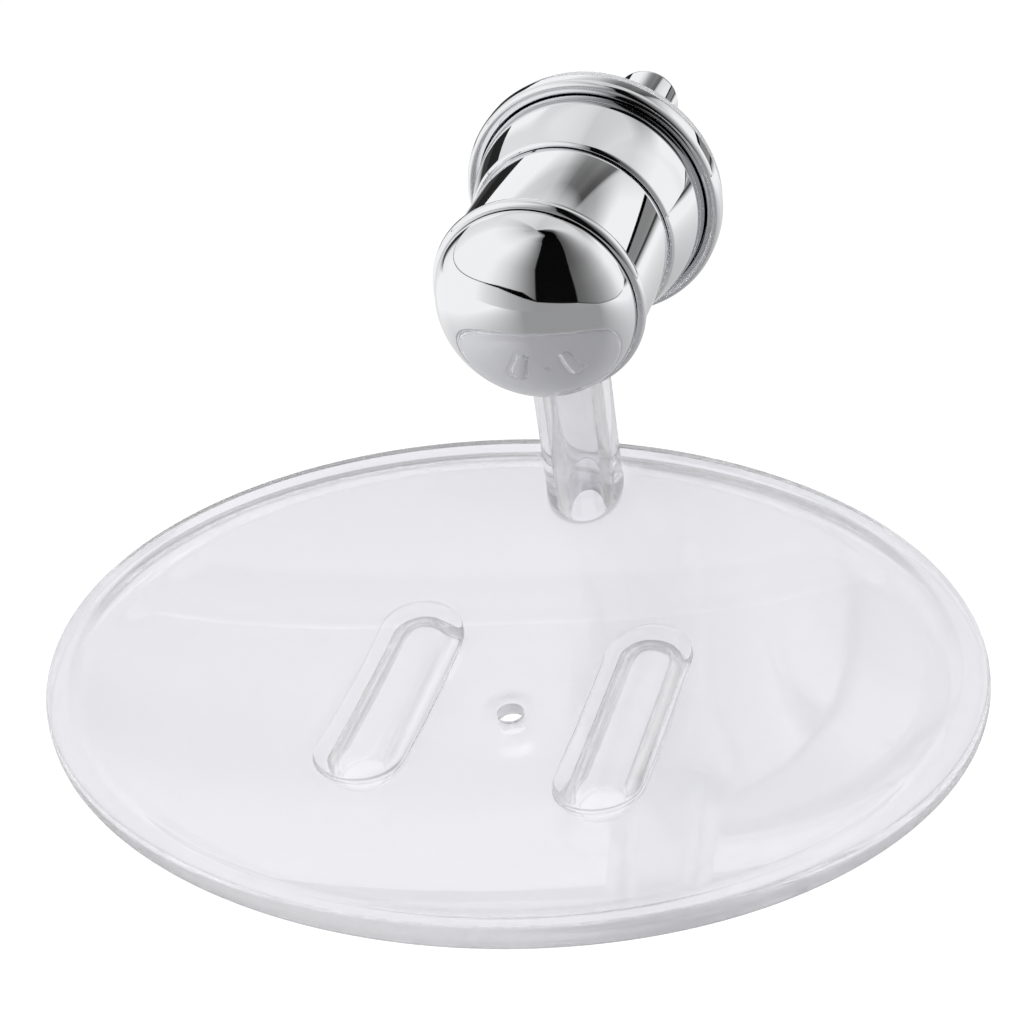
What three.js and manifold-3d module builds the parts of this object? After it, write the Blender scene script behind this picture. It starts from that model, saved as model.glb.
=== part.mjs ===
// Wall-mounted soap dish: a clear oval dish on a clear hollow peg, carried by a chrome wall bracket.
// The peg hangs in a socket under the bracket's neck, and a domed knob at the front clamps it.
//
// Frame: millimetres, +Z up, +Y into the wall, so the bracket reaches out along -Y.
// The origin is the centre of the wall face, on the bracket's axis.
import * as THREE from 'three';
import { mergeVertices } from 'three/addons/utils/BufferGeometryUtils.js';
import Module from 'manifold-3d';

const wasm = await Module();
wasm.setup();

// Gaps and tool sizes
const seatGap = 0.3;
const runGap = 0.3;
const overrun = 2;
const weldDistance = 1e-4;

// Facets round a turned piece: the dish, the chrome outside pieces and the small inner ones
const dishFacets = 72;
const chromeFacets = 44;
const innerFacets = 24;

// Wall gasket and wall flange
const gasketThickness = 1.6;
const gasketRadius = 20;
const gasketBore = 8;
const flangeRadius = 20.6;
const flangeWeb = 1.2;
const flangeBeadHeight = 2.1;
const flangeBeadWidth = 1.7;
const flangeLipHeight = 0.5;
// Bead outline from its outer side over to its inner side: shares of its width and of its height
const flangeBeadShares = [[0, 0.6], [0.25, 0.88], [0.5, 1], [0.83, 0.8], [1, 0]];
const registerHeight = 4.5;
const registerWall = 1.2;

// Bell cover
const bellLength = 12.9;
const bellWideRadius = 18.4;
const bellWall = 1.3;
const bellFlarePower = 1.8;
const bellSteps = 5;

// Neck: a chrome barrel over a turned core
const neckLength = 15.6;
const neckRadius = 15.6;
const barrelWall = 1.1;
const bellStep = 0.5;

// Collar bead at the front of the neck
const collarThickness = 2.2;
const collarRadius = 16.4;
const collarWall = 1.7;

// Domed knob with its clamp screw
const domeRadius = 15.3;
const domeHeight = 10;
const domeWall = 1.4;
const domeSteps = 7;
const hubRadius = 6.5;
const hubDepth = 2.4;
const screwRadius = 4;
const screwNoseRadius = 1.5;
const screwNoseLength = 1.7;
const padThickness = 2.4;
const frontBossRadius = 7;
const frontBossLength = 5.9;

// Wall stud with its shank, washer, spring washer and nut
const studRadius = 4;
const shankRadius = 5.4;
const studInWall = 31;
const studChamfer = 0.8;
const washerRadius = 9.5;
const washerThickness = 1;
const springWasherRadius = 7;
const springWasherThickness = 1.3;
const springWasherSlit = 1;
const nutAcrossFlats = 13;
const nutThickness = 3.3;
const rearBossRadius = 8;
const studEngagement = 5.4;

// Grub screw that locks the bell to the flange
const grubRadius = 1.5;
const grubLength = 2.9;

// Peg and its socket
const pegRadius = 6.2;
const pegBoreRadius = 2.9;
const pegRise = 7;
const pegTopWall = 2.4;
const pegChamfer = 0.8;
const linerWall = 0.6;
const linerLipWidth = 0.8;
const linerLipThickness = 1.2;
const ringSection = 0.5;
const ringHeight = 4.4;
const ringFacets = 8;

// Dish, measured from its rim plane and its centre
const dishWidth = 140;
const dishDepth = 108;
const dishDrop = 38.3;
const pegInset = 9.4;
const pegSetback = dishDepth / 2 - pegInset;
const bowlDepth = 11.4;
const bowlPower = 2.2;
const bowlSteps = 9;
const bowlSpacingPower = 0.8;
const dishWall = 3;
const rimWidth = 5.2;
const rimHeight = 3.5;
const rimStep = 0.6;
// Rim outline from its land outwards: shares of the rim's width in from its edge, and of its step
const rimShares = [[0.69, -0.25], [0.42, 0], [0.22, -0.3], [0.08, -1.1], [0.01, -2.1], [0, -3]];
const ribSpacing = 36.4;
const ribLength = 41;
const ribWidth = 13.6;
const ribHeight = 3.5;
const ribRound = 2.4;
const ribWall = 1.8;
const hollowRound = 1.6;
const ribRoundSteps = 3;
const ribOffset = 1.1;
const ribFacets = 6;
const drainRadius = 2;
const dimpleRadius = 4.2;
const dimpleDepth = 0.7;

// Distances out from the wall, built up piece by piece
const flangeBack = gasketThickness + seatGap;
const shankFront = flangeBack - seatGap;
const flangeFront = flangeBack + flangeWeb;
const bellBack = flangeFront + seatGap;
const bellFront = bellBack + bellLength;
const neckBack = bellFront + seatGap;
const neckFront = neckBack + neckLength;
const collarBack = neckFront + seatGap;
const collarFront = collarBack + collarThickness;
const domeBack = collarFront + seatGap;
const socketOut = (neckBack + neckFront) / 2;
const dishReach = socketOut + pegSetback;
const washerBack = flangeFront + seatGap;
const springBack = washerBack + washerThickness + seatGap;
const nutBack = springBack + springWasherThickness + seatGap;
const coreBack = nutBack + nutThickness + seatGap;
const studFront = coreBack + studEngagement;
const frontBossEnd = collarFront + frontBossLength;
const grubOut = flangeFront + registerHeight / 2;
const padFront = socketOut + pegRadius + seatGap;
const padBack = padFront + padThickness;

// Radii that follow from the fits
const studHole = studRadius + runGap;
const screwHole = screwRadius + runGap;
const neckTurn = neckRadius - barrelWall - seatGap;
const collarBore = collarRadius - collarWall - flangeLipHeight * 2;
const spigotRadius = collarBore - seatGap;
const linerBore = pegRadius + runGap;
const linerRadius = linerBore + linerWall;
const socketBore = linerRadius + runGap;
const padRadius = screwRadius - seatGap / 2;
const registerRadius = bellWideRadius - bellWall - runGap * 2 - flangeLipHeight;
const linerTop = -padRadius - seatGap;
const dishSquash = dishDepth / dishWidth;
const bowlEdge = dishWidth / 2 - rimWidth;
const bowlLip = rimStep + seatGap;
const ribTop = ribHeight - bowlDepth;

// Materials
const chrome = { color: 0xd9dadc, roughness: 0.08, metalness: 1 };
const steel = { color: 0xb4b6b9, roughness: 0.3, metalness: 1 };
const brass = { color: 0xc2a25a, roughness: 0.35, metalness: 1 };
const acrylic = { color: 0xe9e9f0, roughness: 0.05, metalness: 0, transparent: true, opacity: 0.4 };
const vinyl = { color: 0xe4e6ea, roughness: 0.3, metalness: 0, transparent: true, opacity: 0.6 };
const nylon = { color: 0xf1efe9, roughness: 0.5, metalness: 0 };
const rubber = { color: 0x2b2b2d, roughness: 0.8, metalness: 0 };

// A profile's signed area is positive when it runs anticlockwise, which turns its faces outwards.
function outward(points) {
  let area = 0;
  points.forEach(([r, h], i) => {
    const [nextR, nextH] = points[(i + 1) % points.length];
    area += r * nextH - nextR * h;
  });
  return area > 0 ? points : [...points].reverse();
}

// Turned solid about Y. A profile that leaves the axis is closed back on its first point.
function turned(points, facets) {
  const onAxis = points[0][0] === 0 && points[points.length - 1][0] === 0;
  const loop = outward(points);
  const closed = onAxis ? loop : [...loop, loop[0]];
  return new THREE.LatheGeometry(closed.map(([r, h]) => new THREE.Vector2(r, h)), facets);
}

// Piece turned about the bracket's axis, from a profile of [radius, distance out from the wall].
function turnedOut(points, facets) {
  return turned(points.map(([r, out]) => [r, -out]), facets);
}

// Piece turned about an upright axis, from a profile of [radius, height].
function turnedUp(points, facets) {
  return turned(points, facets).rotateX(Math.PI / 2);
}

// Plain ring or rod between two heights or two distances out
function band(inner, outer, from, to) {
  return [[inner, from], [outer, from], [outer, to], [inner, to]];
}

// Solid for a join or a cut, from a closed geometry
function solid(geometry) {
  const bare = geometry.clone();
  bare.deleteAttribute('normal');
  bare.deleteAttribute('uv');
  const merged = mergeVertices(bare, weldDistance);
  const mesh = new wasm.Mesh({
    numProp: 3,
    vertProperties: new Float32Array(merged.attributes.position.array),
    triVerts: new Uint32Array(merged.index.array),
  });
  mesh.merge();
  return new wasm.Manifold(mesh);
}

// Geometry of a finished solid
function geometryOf(manifold) {
  const { vertProperties, triVerts } = manifold.getMesh();
  const geometry = new THREE.BufferGeometry();
  geometry.setAttribute('position', new THREE.BufferAttribute(new Float32Array(vertProperties), 3));
  geometry.setIndex(new THREE.BufferAttribute(new Uint32Array(triVerts), 1));
  geometry.computeVertexNormals();
  return geometry;
}

// Upright rod used as a cutting tool, centred on the socket unless another place is given
function uprightTool(radius, bottom, top, x = 0, y = -socketOut) {
  return solid(turnedUp(band(0, radius, bottom, top), innerFacets).translate(x, y, 0));
}

// Bell's outer radius at a share of its length, from its front to its back
function bellRadius(share) {
  const narrow = neckRadius + bellStep;
  return narrow + (bellWideRadius - narrow) * (1 - (1 - share) ** bellFlarePower);
}

// Height of the bowl's upper surface at a radius along the dish's width, from the rim plane
function bowlHeight(radius) {
  return -bowlDepth + (bowlDepth - bowlLip) * (radius / bowlEdge) ** bowlPower;
}

// Radii from the dish's axis out to a given one, closer together towards the outside
function bowlRadii(outer) {
  return Array.from({ length: bowlSteps + 1 }, (_, i) => outer * (i / bowlSteps) ** bowlSpacingPower);
}

// Obround outline, long in Y, for a rib or its hollow
function obround(width, length) {
  const radius = width / 2;
  const straight = length / 2 - radius;
  const shape = new THREE.Shape();
  shape.absarc(0, straight, radius, 0, Math.PI, false);
  shape.absarc(0, -straight, radius, Math.PI, 2 * Math.PI, false);
  return shape;
}

// Rib or hollow with a flat top and a rounded edge, reaching down from its top
function ribSolid(width, length, top, height, round, x) {
  const geometry = new THREE.ExtrudeGeometry(obround(width - 2 * round, length - 2 * round), {
    depth: height,
    curveSegments: ribFacets,
    bevelSize: round,
    bevelThickness: round,
    bevelSegments: ribRoundSteps,
  });
  return solid(geometry.translate(x, -dishReach - ribOffset, top - round - height - dishDrop));
}

// Clear ring between the flange and the wall
function wallGasket() {
  return turnedOut(band(gasketBore, gasketRadius, 0, gasketThickness), chromeFacets);
}

// Chrome flange: a thin web, a rolled bead round its edge and a ring that centres the bell
function wallFlange() {
  const bead = flangeBeadShares.map(([across, up]) => [
    flangeRadius - across * flangeBeadWidth,
    flangeFront + up * flangeBeadHeight,
  ]);
  const ringInner = registerRadius - registerWall;
  const ringTop = flangeFront + registerHeight;
  const body = turnedOut([
    [studHole, flangeBack],
    [flangeRadius - flangeLipHeight, flangeBack],
    [flangeRadius, flangeBack + flangeLipHeight],
    ...bead,
    [registerRadius, flangeFront],
    [registerRadius, ringTop],
    [ringInner, ringTop],
    [ringInner, flangeFront],
    [studHole, flangeFront],
  ], chromeFacets);
  const hole = uprightTool(grubRadius + runGap, -bellWideRadius, -ringInner + overrun, 0, -grubOut);
  return geometryOf(solid(body).subtract(hole));
}

// Chrome bell: a thin flared shell with a front wall that the neck is drawn against
function bellCover() {
  const shares = Array.from({ length: bellSteps + 1 }, (_, i) => i / bellSteps);
  const wallBack = bellFront - bellWall;
  const outer = shares.map((share) => [bellRadius(share), bellFront - share * bellLength]);
  const inner = shares
    .map((share) => [bellRadius(share) - bellWall, bellFront - share * bellLength])
    .filter(([, out]) => out < wallBack)
    .reverse();
  const neckSide = bellRadius(bellWall / bellLength) - bellWall;
  const hub = rearBossRadius + runGap;
  const body = turnedOut([...outer, ...inner, [neckSide, wallBack], [hub, wallBack], [hub, bellFront]],
    chromeFacets);
  const hole = uprightTool(grubRadius + runGap, -bellWideRadius - overrun, -registerRadius, 0, -grubOut);
  return geometryOf(solid(body).subtract(hole));
}

// Headless screw pointing up from below, through the bell into the flange's ring
function bellGrubScrew() {
  const tip = -registerRadius + registerWall - seatGap;
  const head = tip - grubLength;
  return turnedUp([
    [0, head],
    [grubRadius, head],
    [grubRadius, tip - grubRadius / 2],
    [grubRadius / 2, tip],
    [0, tip],
  ], innerFacets).translate(0, -grubOut, 0);
}

// Stud whose shank goes into the wall and whose thinner front takes the washers, the nut and the core
function wallStud() {
  return turnedOut([
    [0, -studInWall],
    [shankRadius - studChamfer, -studInWall],
    [shankRadius, studChamfer - studInWall],
    [shankRadius, shankFront],
    [studRadius, shankFront],
    [studRadius, studFront - studChamfer],
    [studRadius - studChamfer, studFront],
    [0, studFront],
  ], innerFacets);
}

// Flat washer on the flange
function studWasher() {
  return turnedOut(band(studHole, washerRadius, washerBack, washerBack + washerThickness), innerFacets);
}

// Spring washer: a ring with a slit
function studSpringWasher() {
  const front = springBack + springWasherThickness;
  const ring = solid(turnedOut(band(studHole, springWasherRadius, springBack, front), innerFacets));
  const slit = new THREE.BoxGeometry(springWasherRadius * 2, springWasherThickness * 4, springWasherSlit);
  slit.translate(springWasherRadius, -springBack, 0);
  return geometryOf(ring.subtract(solid(slit)));
}

// Hexagon nut
function studNut() {
  const corner = nutAcrossFlats / Math.sqrt(3);
  const hex = new THREE.CylinderGeometry(corner, corner, nutThickness, 6);
  hex.translate(0, -nutBack - nutThickness / 2, 0);
  const hole = solid(turnedOut(
    band(0, studHole, nutBack - overrun, nutBack + nutThickness + overrun), innerFacets));
  return geometryOf(solid(hex).subtract(hole));
}

// Turned core: it screws onto the stud, holds the peg's socket and carries the knob's thread
function neckCore() {
  const body = solid(turnedOut([
    [0, coreBack],
    [rearBossRadius, coreBack],
    [rearBossRadius, neckBack],
    [neckTurn, neckBack],
    [neckTurn, neckFront],
    [spigotRadius, neckFront],
    [spigotRadius, collarFront],
    [frontBossRadius, collarFront],
    [frontBossRadius, frontBossEnd],
    [0, frontBossEnd],
  ], chromeFacets));
  const grooveRadius = pegRadius + runGap * 2 + ringSection * 2 + seatGap;
  const grooveHalf = ringSection + seatGap;
  const cuts = [
    uprightTool(socketBore, -neckRadius - overrun, linerTop + seatGap),
    uprightTool(linerBore, -neckRadius, pegRise + seatGap),
    uprightTool(grooveRadius, ringHeight - grooveHalf, ringHeight + grooveHalf),
    solid(turnedOut(band(0, studHole, coreBack - overrun, studFront + seatGap), innerFacets)),
    solid(turnedOut(band(0, screwHole, socketOut, frontBossEnd + overrun), innerFacets)),
  ];
  return geometryOf(cuts.reduce((left, cut) => left.subtract(cut), body));
}

// Chrome sleeve over the core, open below for the peg
function neckBarrel() {
  const tube = turnedOut(band(neckRadius - barrelWall, neckRadius, neckBack, neckFront), chromeFacets);
  const hole = uprightTool(socketBore, -neckRadius - overrun, 0);
  return geometryOf(solid(tube).subtract(hole));
}

// Half-round bead round the front of the neck
function neckCollar() {
  const mid = (collarBack + collarFront) / 2;
  const half = collarThickness / 2;
  const shoulder = collarRadius - half;
  const bead = Array.from({ length: ringFacets - 1 }, (_, i) => {
    const angle = (i / (ringFacets - 2) - 0.5) * Math.PI;
    return [shoulder + half * Math.cos(angle), mid + half * Math.sin(angle)];
  });
  return turnedOut([[collarBore, collarBack], ...bead, [collarBore, collarFront]], chromeFacets);
}

// Domed knob: an elliptical shell with a hub that holds the clamp screw
function knobDome() {
  const angles = Array.from({ length: domeSteps + 1 }, (_, i) => (i / domeSteps) * Math.PI / 2);
  const innerRadius = domeRadius - domeWall;
  const innerHeight = domeHeight - domeWall;
  const outer = angles.map((a) => [domeRadius * Math.sin(a), domeBack + domeHeight * Math.cos(a)]);
  outer[0][0] = 0;
  const hubLimit = Math.asin(hubRadius / innerRadius);
  const inner = angles
    .filter((a) => a > hubLimit)
    .map((a) => [innerRadius * Math.sin(a), domeBack + innerHeight * Math.cos(a)])
    .reverse();
  const hubBase = domeBack + innerHeight - hubDepth;
  return turnedOut([
    ...outer,
    ...inner,
    [hubRadius, domeBack + innerHeight * Math.cos(hubLimit)],
    [hubRadius, hubBase],
    [screwHole, hubBase],
    [screwHole, domeBack + innerHeight],
    [0, domeBack + innerHeight],
  ], chromeFacets);
}

// Clamp screw: fixed in the knob, threaded in the core, with a nose that carries the pad
function clampScrew() {
  const shoulder = padBack + seatGap;
  const end = domeBack + domeHeight - domeWall - seatGap;
  return turnedOut([
    [0, shoulder - screwNoseLength],
    [screwNoseRadius, shoulder - screwNoseLength],
    [screwNoseRadius, shoulder],
    [screwRadius, shoulder],
    [screwRadius, end],
    [0, end],
  ], innerFacets);
}

// Pad on the screw's nose, which presses on the peg and doesn't turn
function clampPad() {
  const holeEnd = padBack - screwNoseLength;
  const hole = screwNoseRadius + seatGap;
  return turnedOut([
    [0, padFront],
    [padRadius, padFront],
    [padRadius, padBack],
    [hole, padBack],
    [hole, holeEnd],
    [0, holeEnd],
  ], innerFacets);
}

// Sleeve that lines the socket's mouth, with a lip below the neck
function socketLiner() {
  const lipTop = -neckRadius - seatGap;
  const lipBottom = lipTop - linerLipThickness;
  const lipRadius = linerRadius + linerLipWidth;
  return turnedUp([
    [linerBore, lipBottom],
    [lipRadius, lipBottom],
    [lipRadius, lipTop],
    [linerRadius, lipTop],
    [linerRadius, linerTop],
    [linerBore, linerTop],
  ], innerFacets).translate(0, -socketOut, 0);
}

// Rubber ring in the core's groove, round the top of the peg
function socketRing() {
  const centre = pegRadius + runGap + seatGap / 2 + ringSection;
  const ring = new THREE.TorusGeometry(centre, ringSection, ringFacets, innerFacets);
  return ring.translate(0, -socketOut, ringHeight);
}

// Upper surface of the dish from its axis to its edge, and the under side of the bowl
function upperSurface() {
  const bowl = bowlRadii(bowlEdge).map((r) => [r, bowlHeight(r)]);
  const rim = rimShares.map(([across, up]) => [dishWidth / 2 - across * rimWidth, up * rimStep]);
  return [...bowl, [bowlEdge + rimStep, -rimStep], ...rim];
}

function underSurface() {
  return bowlRadii(bowlEdge - dishWall).map((r) => [r, bowlHeight(r) - dishWall]);
}

// Turned solid in the dish's place, squashed from a circle to the dish's oval
function ovalSolid(points) {
  const round = turnedUp(points, dishFacets);
  return solid(round.scale(1, dishSquash, 1).translate(0, -dishReach, -dishDrop));
}

// Everything below a surface, down past the bottom of the dish, as a cutting tool
function ovalBelow(surface) {
  const deep = -bowlDepth - dishWall - ribHeight - overrun;
  const edge = surface[surface.length - 1][0];
  return ovalSolid([[0, deep], [edge, deep], ...[...surface].reverse()]);
}

// Raised rib whose lower side stops at the under side of the bowl
function ribPair(width, length, top, round) {
  const height = top + bowlDepth + dishWall;
  const [left, right] = [-1, 1].map((side) =>
    ribSolid(width, length, top, height, round, side * ribSpacing / 2));
  return left.add(right);
}

// Clear dish: the bowl and its rim, two hollow ribs, the drain hole and the hole under the peg
function dishTray() {
  const half = dishWidth / 2;
  const shell = ovalSolid([
    ...upperSurface(),
    [half - rimStep / 2, rimStep - rimHeight],
    [half - rimStep * 2, -rimHeight],
    [bowlEdge + rimStep, -rimHeight],
    ...underSurface().reverse(),
  ]);
  const ribs = ribPair(ribWidth, ribLength, ribTop, ribRound).subtract(ovalBelow(underSurface()));
  const inset = ribWall * 2;
  const hollows = ribPair(ribWidth - inset, ribLength - inset, ribTop - ribWall, hollowRound);
  const floor = -dishDrop - bowlDepth;
  const dimple = turnedUp([
    [0, floor - dimpleDepth],
    [drainRadius, floor - dimpleDepth],
    [dimpleRadius, floor],
    [dimpleRadius, floor + dimpleDepth],
    [0, floor + dimpleDepth],
  ], innerFacets).translate(0, -dishReach, 0);
  return geometryOf(shell
    .add(ribs)
    .subtract(hollows)
    .subtract(solid(dimple))
    .subtract(uprightTool(drainRadius, floor - dishWall - overrun, floor + overrun, 0, -dishReach))
    .subtract(uprightTool(pegBoreRadius, floor - dishWall - overrun, -dishDrop + overrun)));
}

// Clear peg: a hollow post, open below and closed above, whose foot is cut to the bowl's surface
function dishPeg() {
  const base = -dishDrop - bowlDepth;
  const boreTop = pegRise - pegTopWall;
  const post = turnedUp([
    [pegBoreRadius, base],
    [pegRadius, base],
    [pegRadius, pegRise - pegChamfer],
    [pegRadius - pegChamfer, pegRise],
    [0, pegRise],
    [0, boreTop],
    [pegBoreRadius - pegChamfer, boreTop - pegChamfer / 2],
    [pegBoreRadius, boreTop - pegChamfer * 2],
  ], innerFacets).translate(0, -socketOut, 0);
  const raised = upperSurface().map(([r, h]) => [r, h + seatGap]);
  return geometryOf(solid(post).subtract(ovalBelow(raised)));
}

const soapDish = new THREE.Group();

// Adds one named piece to the assembly
function piece(name, geometry, material) {
  const mesh = new THREE.Mesh(geometry, new THREE.MeshStandardMaterial(material));
  mesh.name = name;
  soapDish.add(mesh);
}

piece('wall_gasket', wallGasket(), vinyl);
piece('wall_flange', wallFlange(), chrome);
piece('bell_cover', bellCover(), chrome);
piece('bell_grub_screw', bellGrubScrew(), steel);
piece('wall_stud', wallStud(), chrome);
piece('stud_washer', studWasher(), steel);
piece('stud_spring_washer', studSpringWasher(), steel);
piece('stud_nut', studNut(), steel);
piece('neck_core', neckCore(), brass);
piece('neck_barrel', neckBarrel(), chrome);
piece('neck_collar', neckCollar(), chrome);
piece('knob_dome', knobDome(), chrome);
piece('clamp_screw', clampScrew(), steel);
piece('clamp_pad', clampPad(), nylon);
piece('socket_liner', socketLiner(), nylon);
piece('socket_ring', socketRing(), rubber);
piece('dish_peg', dishPeg(), acrylic);
piece('dish_tray', dishTray(), acrylic);

export default soapDish;
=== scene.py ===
# %% [markdown]
# # A clear soap dish on a chrome wall bracket
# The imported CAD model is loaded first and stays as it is: it says where every piece sits. What follows
# gives each visible piece a finer surface and each surface a finish, then sets the light and the camera.
# Sizes are in millimetres until a mesh is made of them, and there they become Blender's metres.

import bmesh
import bpy
import numpy as np
from mathutils import Matrix
from mathutils.geometry import delaunay_2d_cdt


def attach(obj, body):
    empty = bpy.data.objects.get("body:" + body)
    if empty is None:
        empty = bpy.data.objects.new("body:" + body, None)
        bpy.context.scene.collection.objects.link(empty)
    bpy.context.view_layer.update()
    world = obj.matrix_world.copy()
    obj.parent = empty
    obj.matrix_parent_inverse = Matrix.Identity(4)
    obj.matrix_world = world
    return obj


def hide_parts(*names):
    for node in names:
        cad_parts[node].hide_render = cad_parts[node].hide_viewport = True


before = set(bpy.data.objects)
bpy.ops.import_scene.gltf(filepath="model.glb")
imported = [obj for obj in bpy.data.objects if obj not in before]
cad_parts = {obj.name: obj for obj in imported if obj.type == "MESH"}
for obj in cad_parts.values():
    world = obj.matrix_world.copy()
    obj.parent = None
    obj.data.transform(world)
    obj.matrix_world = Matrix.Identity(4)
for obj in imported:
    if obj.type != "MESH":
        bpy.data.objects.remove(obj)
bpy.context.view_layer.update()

MM = 0.001

# %% [markdown]
# ## From an outline to a surface
# Most of the bracket is turned on a lathe, so each piece is an outline of (radius, distance out from the
# wall) carried round the bracket's axis. Modelling by hand would also work, but an outline keeps every
# size in one line, and its corners can be rounded before the piece exists.

# %% Rounded outlines and turned points
SIDE_SHARE = 0.45           # the most of its shorter side that a corner's curve takes up
SAME_PLACE = 1e-6           # outline points nearer than this, in mm, are one point
LATHE_STEPS = 192


def rounded(corners, radius, closed=True, steps=5):
    """Outline with curved corners. Each corner P becomes (1-s)^2 A + 2 s (1-s) P + s^2 B, where A and B
    lie on the sides that meet in P, at the given radius from it or at a share of the shorter side."""
    p = np.asarray(corners, float)
    back, ahead = np.roll(p, 1, axis=0) - p, np.roll(p, -1, axis=0) - p
    back_length = np.linalg.norm(back, axis=1)
    ahead_length = np.linalg.norm(ahead, axis=1)
    shorter = np.minimum(back_length, ahead_length)
    reach = np.minimum(np.broadcast_to(radius, len(p)), SIDE_SHARE * shorter)
    a = p + back * (reach / back_length)[:, None]
    b = p + ahead * (reach / ahead_length)[:, None]
    s = np.linspace(0, 1, steps)[None, :, None]
    curves = (1 - s) ** 2 * a[:, None] + 2 * s * (1 - s) * p[:, None] + s ** 2 * b[:, None]
    if not closed:
        first, last = p[None, :1].repeat(steps, 1), p[None, -1:].repeat(steps, 1)
        curves = np.concatenate([first, curves[1:-1], last])
    points = curves.reshape(-1, 2)
    step = np.linalg.norm(np.diff(points, axis=0), axis=1)
    return points[np.concatenate([[True], step > SAME_PLACE])]


def grid_faces(rows, columns, rows_close):
    """Four-sided faces of a grid of points whose columns close on themselves, and its rows too if asked."""
    i = np.arange(rows if rows_close else rows - 1)[:, None]
    j = np.arange(columns)[None, :]
    below, beside = (i + 1) % rows, (j + 1) % columns
    corners = [i * columns + j, i * columns + beside, below * columns + beside, below * columns + j]
    return np.stack(np.broadcast_arrays(*corners), axis=-1).reshape(-1, 4)


def turned(outline, segments=LATHE_STEPS, closed=True):
    """A surface of two parameters: outline point (r, out) at angle a lies at (r sin a, -out, r cos a)."""
    angle = np.arange(segments) * 2 * np.pi / segments
    r, out = outline[:, :1], outline[:, 1:]
    points = np.stack([r * np.sin(angle), -out + 0 * angle, r * np.cos(angle)], axis=-1)
    return points.reshape(-1, 3), grid_faces(len(outline), segments, closed)


def stood(outline, place, segments):
    """The same about an upright axis: outline point (r, up) lies at (x + r cos a, y + r sin a, z + up)."""
    x, y, z = place
    angle = np.arange(segments) * 2 * np.pi / segments
    r, up = outline[:, :1], outline[:, 1:]
    points = np.stack([r * np.cos(angle) + x, r * np.sin(angle) + y, up + z + 0 * angle], axis=-1)
    return points.reshape(-1, 3)


washer = turned(rounded([(1, 0), (2, 0), (2, 1), (1, 1)], 0.1))
print("a plain washer would have", len(washer[1]), "faces")

# %% [markdown]
# ## From a surface to a finished piece
# Every piece is one closed mesh. Its points could stay apart where two parts of it meet, but a merged
# mesh shades without seams and can be cut and measured. Each piece is told which body it rides on and
# which CAD nodes it stands for.

# %% Points and faces to a finished piece
WELD, SLIVER = 1e-6, 1e-7   # metres: nearer points are merged, shorter edges are taken out
SHARP = 35                  # degrees


def make_piece(name, parts, body, nodes, finish, sharp=SHARP):
    """One closed mesh from parts of (points in mm, faces). Points that coincide are merged, faces are
    turned outwards, and edges that bend by more than the sharp angle stay crisp."""
    points = np.vstack([part[0] for part in parts]) * MM
    faces, start = [], 0
    for part_points, part_faces in parts:
        faces += (np.asarray(part_faces) + start).tolist()
        start += len(part_points)
    mesh = bpy.data.meshes.new(name)
    mesh.from_pydata(points.tolist(), [], faces)
    work = bmesh.new()
    work.from_mesh(mesh)
    bmesh.ops.remove_doubles(work, verts=work.verts, dist=WELD)
    bmesh.ops.dissolve_degenerate(work, edges=work.edges, dist=SLIVER)
    bmesh.ops.recalc_face_normals(work, faces=work.faces)
    open_edges = sum(not edge.is_manifold for edge in work.edges)
    work.to_mesh(mesh)
    volume = work.calc_volume(signed=True) / MM ** 3
    work.free()
    mesh.shade_smooth()
    mesh.set_sharp_from_angle(angle=np.radians(sharp))
    mesh.materials.append(finish)
    piece = bpy.data.objects.new(name, mesh)
    bpy.context.scene.collection.objects.link(piece)
    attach(piece, body)
    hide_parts(*nodes)
    triangles = sum(len(face.vertices) - 2 for face in mesh.polygons)
    print(f"{name}: {triangles} triangles, {volume:.0f} mm3, {open_edges} open edges")
    return piece


print("CAD nodes to dress:", len(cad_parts))

# %% [markdown]
# ## Holes
# The bracket has two round holes from below, for the grub screw and for the dish's peg. A hole could be
# left open in the outline's faces, but a Boolean gives it clean walls. It is applied at once, so that no
# modifier is left on the piece.

# %% Upright holes


def bored(piece, radius, place, length, segments):
    """Takes an upright round hole out of a finished piece: a cylinder that starts at place."""
    outline = np.array([(0, 0), (radius, 0), (radius, length), (0, length)], float)
    points = stood(outline, place, segments)
    mesh = bpy.data.meshes.new("bore")
    mesh.from_pydata((points * MM).tolist(), [], grid_faces(len(outline), segments, False).tolist())
    work = bmesh.new()
    work.from_mesh(mesh)
    bmesh.ops.remove_doubles(work, verts=work.verts, dist=WELD)
    bmesh.ops.recalc_face_normals(work, faces=work.faces)
    work.to_mesh(mesh)
    work.free()
    cutter = bpy.data.objects.new("bore", mesh)
    bpy.context.scene.collection.objects.link(cutter)
    cut = piece.modifiers.new("bore", "BOOLEAN")
    cut.operation, cut.solver, cut.object = "DIFFERENCE", "EXACT", cutter
    shape = bpy.data.meshes.new_from_object(piece.evaluated_get(bpy.context.evaluated_depsgraph_get()))
    piece.modifiers.clear()
    piece.data = shape
    bpy.data.objects.remove(cutter)
    work = bmesh.new()
    work.from_mesh(shape)
    print(f"{piece.name}: bored, {sum(not edge.is_manifold for edge in work.edges)} open edges")
    work.free()


# Sizes that several pieces share, in mm.
SOCKET_OUT = 24.4                       # the peg's axis, out from the wall
SCREW_OUT, SCREW_HOLE = 5.35, 1.8       # the grub screw's axis, and its hole's radius
HOLE_STEPS, SOCKET_STEPS = 48, 96
print("holes: screw at", SCREW_OUT, "mm out, socket at", SOCKET_OUT, "mm out")

# %% [markdown]
# ## Finishes
# A finish is one Principled shader. Picture textures could carry the grain, but a noise pattern on the
# piece's own Object coordinates needs no unwrapping and stays put from every side.

# %% Material helpers
NOISE_LOW, NOISE_HIGH = 0.3, 0.7        # where most of a noise pattern's values lie


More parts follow.
